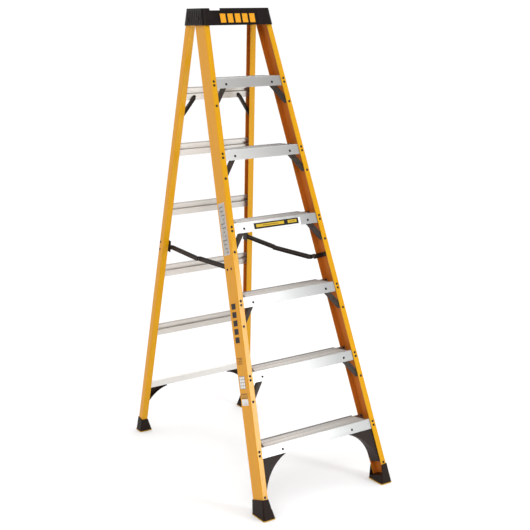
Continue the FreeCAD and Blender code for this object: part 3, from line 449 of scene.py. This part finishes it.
# The films' ground is the outer web's painted-shade yellow
dress(rail_film("rail_film", FRONT_RAILS, YELLOW[3]), "rail_labels")
dress(framed("step_film", "step_label", (0.80, 0.79, 0.77),
             [((0.012, 0.010, 0.008), 0.0, 0.955, 0.22, 1.1), (GOLD, 0.045, 0.640, 0.44, 0.83),
              (GOLD, 0.72, 0.915, 0.44, 0.83), (GOLD_PRINT, 0.18, 0.52, 0.58, 0.68),
              (GOLD_PRINT, 0.76, 0.88, 0.58, 0.68)]), "step_label")
dress(framed("badge_plate", "cap_badge", BLACK,
             [(AMBER, 0.03 + 0.1946 * i, 0.17 + 0.1946 * i, 0.12, 0.90) for i in range(5)]), "cap_badge")


# ------------------------------------------------------------------ floor, light, camera

def plain(name, color, rough):
    g = Graph(name)
    grain = g.noise(g.scaled(g.position(), (3, 3, 3)), 1.0, 3.0)
    shade = tuple(c * 0.985 for c in color)
    g.set(color=g.mix(grain, shade, color), rough=rough, specular=0.1)
    return g.material


def floor():
    mesh = bpy.data.meshes.new("floor")
    corners = [(x * FLOOR_HALF, y * FLOOR_HALF, 0) for x, y in ((-1, -1), (1, -1), (1, 1), (-1, 1))]
    mesh.from_pydata(corners, [], [(0, 1, 2, 3)])
    piece = bpy.data.objects.new("floor", mesh)
    bpy.context.scene.collection.objects.link(piece)
    piece.location.z = -FLOOR_DROP
    mesh.materials.append(plain("pale_floor", (0.97, 0.97, 0.97), 0.9))


def area(name, place, target, size, power, color=(1, 1, 1)):
    light = bpy.data.lights.new(name, "AREA")
    light.shape = "RECTANGLE"
    light.size = size[0]
    light.size_y = size[1]
    light.energy = power
    light.color = color
    lamp = bpy.data.objects.new(name, light)
    lamp.location = place
    lamp.rotation_euler = (Vector(target) - Vector(place)).to_track_quat("-Z", "Y").to_euler()
    bpy.context.scene.collection.objects.link(lamp)


def world():
    """White at the horizon, bright overhead and behind the ladder, and dimmer in front of it."""
    w = bpy.data.worlds.new("studio")
    w.use_nodes = True
    tree = w.node_tree
    back = tree.nodes["Background"]

    def node(kind, *values, **settings):
        made = tree.nodes.new(kind)
        for key, value in settings.items():
            setattr(made, key, value)
        for socket, value in zip(made.inputs, values):
            if isinstance(value, bpy.types.NodeSocket):
                tree.links.new(value, socket)
            else:
                socket.default_value = value
        return made

    way = tree.nodes.new("ShaderNodeTexCoord").outputs["Generated"]
    parts = node("ShaderNodeSeparateXYZ", way)
    east = node("ShaderNodeMath", parts.outputs[0], AHEAD[0], operation="MULTIPLY")
    north = node("ShaderNodeMath", parts.outputs[1], AHEAD[1], operation="MULTIPLY")
    depth = node("ShaderNodeMath", east.outputs[0], north.outputs[0], operation="ADD")
    behind = node("ShaderNodeMapRange", depth.outputs[0], -0.2, 0.2, FRONT_LIGHT, BACK_LIGHT)
    low = node("ShaderNodeMapRange", parts.outputs[2], 0.05, 0.08, BACK_LIGHT, behind.outputs[0])
    level = node("ShaderNodeMapRange", parts.outputs[2], 0.35, 0.75, low.outputs[0], TOP_LIGHT)
    tree.links.new(level.outputs[0], back.inputs[1])
    back.inputs[0].default_value = (1, 1, 1, 1)
    bpy.context.scene.world = w


def camera():
    yaw, pitch, roll = (math.radians(v) for v in (-32.791, -13.558, -0.769))
    ahead = Vector((-math.sin(yaw) * math.cos(pitch), math.cos(yaw) * math.cos(pitch), math.sin(pitch)))
    right = Vector((math.cos(yaw), math.sin(yaw), 0))
    up = right.cross(ahead)
    across = right * math.cos(roll) + up * math.sin(roll)
    upright = up * math.cos(roll) - right * math.sin(roll)
    data = bpy.data.cameras.new("camera")
    data.sensor_width = 36.0
    data.lens = 70.69
    data.shift_x = -0.00204
    data.shift_y = 0.00406
    eye = bpy.data.objects.new("camera", data)
    m = Matrix((across, upright, -ahead)).transposed().to_4x4()
    m.translation = (-2.35844, -3.77796, 1.95751)
    eye.matrix_world = m
    bpy.context.scene.collection.objects.link(eye)
    bpy.context.scene.camera = eye


floor()
world()
area("key", (-3.2, -4.2, 4.6), (0, 0, 0.9), (2.5, 2.5), 60)
area("strip", (1.7, -3.8, 1.4), (0, -0.3, 0.7), (0.6, 2.0), 56, (0.90, 0.96, 1.0))
camera()
bpy.context.scene.view_settings.view_transform = "Standard"
